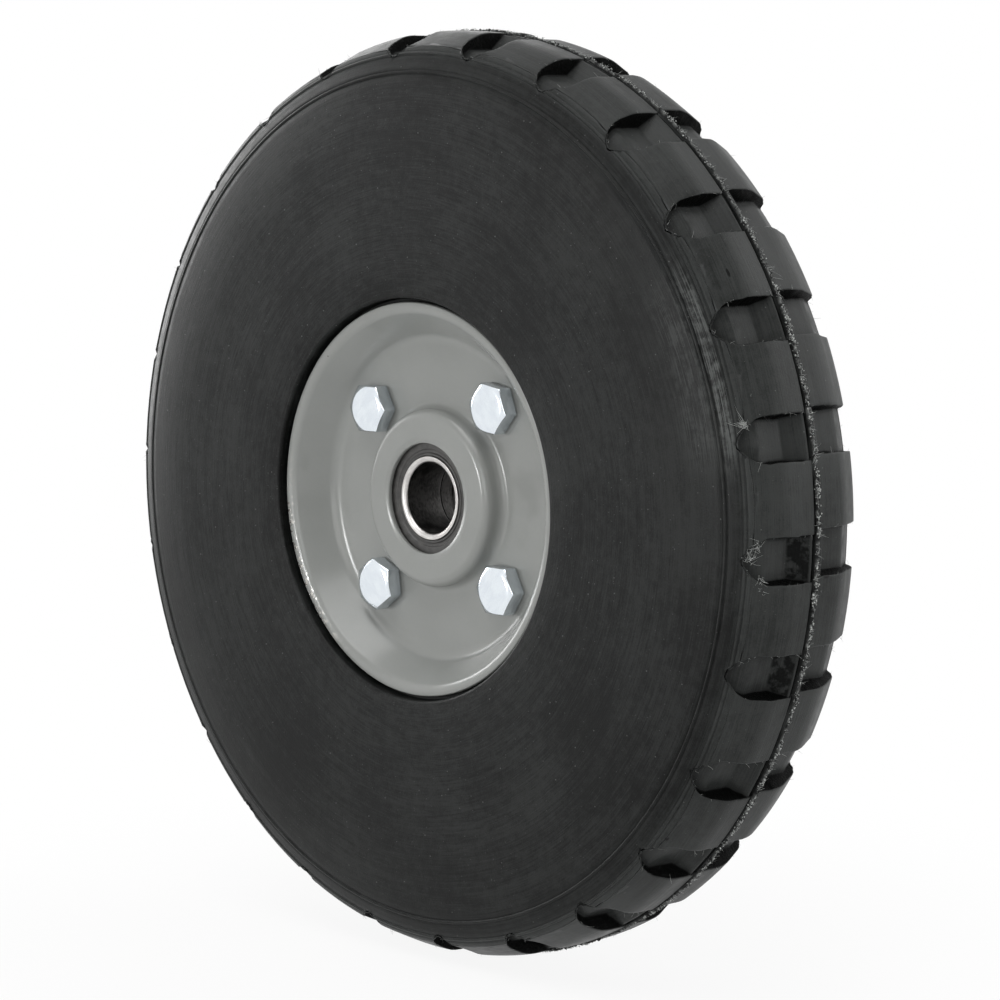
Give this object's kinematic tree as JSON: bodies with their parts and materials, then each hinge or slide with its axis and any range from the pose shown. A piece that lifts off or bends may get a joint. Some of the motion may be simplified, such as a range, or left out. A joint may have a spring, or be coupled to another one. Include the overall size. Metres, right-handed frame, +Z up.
{
  "type": "rubber trolley wheel",
  "caption": "Solid black rubber trolley wheel with a pocketed tread on bolted grey pressed steel plates, turning on sealed ball bearings for a plain axle.",
  "frame": {"origin": "centre of the wheel: on the axle's line, in the tyre's middle plane", "axes": "+Y along the axle towards the nut side, so the bolt heads face -Y; +Z up; the wheel spins about +Y"},
  "size_m": [0.26, 0.0486, 0.26],
  "materials": {
    "rubber_black": "satin moulded rubber, faint turned streaks",
    "grey_paint": "satin gloss grey paint",
    "tube_steel": "plain drawn tube",
    "ring_steel": "dark oiled steel",
    "zinc": "bright blue zinc plate",
    "bearing_steel": "ground bearing steel",
    "ball_steel": "polished",
    "cage_nylon": "dark nylon",
    "seal_rubber": "matt moulded rubber"
  },
  "bodies": {
    "axle_seat": {"near_inner_ring": "bearing_steel", "far_inner_ring": "bearing_steel", "distance_ring": "ring_steel"},
    "wheel": {"tyre": "rubber_black", "near_plate": "grey_paint", "far_plate": "grey_paint", "hub_tube": "tube_steel", "near_outer_ring": "bearing_steel", "far_outer_ring": "bearing_steel", "near_outer_seal": "seal_rubber", "near_inner_seal": "seal_rubber", "far_outer_seal": "seal_rubber", "far_inner_seal": "seal_rubber", "hex_bolts": "zinc", "hex_nuts": "zinc"},
    "near_cage_set": {"near_cage": "cage_nylon", "near_ball_1": "ball_steel", "near_ball_2": "ball_steel", "near_ball_3": "ball_steel", "near_ball_4": "ball_steel", "near_ball_5": "ball_steel", "near_ball_6": "ball_steel", "near_ball_7": "ball_steel", "near_ball_8": "ball_steel"},
    "far_cage_set": {"far_cage": "cage_nylon", "far_ball_1": "ball_steel", "far_ball_2": "ball_steel", "far_ball_3": "ball_steel", "far_ball_4": "ball_steel", "far_ball_5": "ball_steel", "far_ball_6": "ball_steel", "far_ball_7": "ball_steel", "far_ball_8": "ball_steel"}
  },
  "joints": [
    {"name": "wheel_spin", "type": "hinge", "parent": "axle_seat", "child": "wheel", "pos_m": [0, 0, 0], "axis": [0, 1, 0], "continuous": true},
    {"name": "near_cage_turn", "type": "hinge", "parent": "axle_seat", "child": "near_cage_set", "pos_m": [0, -0.0087, 0], "axis": [0, 1, 0], "continuous": true},
    {"name": "far_cage_turn", "type": "hinge", "parent": "axle_seat", "child": "far_cage_set", "pos_m": [0, 0.0087, 0], "axis": [0, 1, 0], "continuous": true}
  ],
  "couplings": [
    {"joint": "near_cage_turn", "follows": "wheel_spin", "ratio": 0.6185},
    {"joint": "far_cage_turn", "follows": "wheel_spin", "ratio": 0.6185}
  ]
}
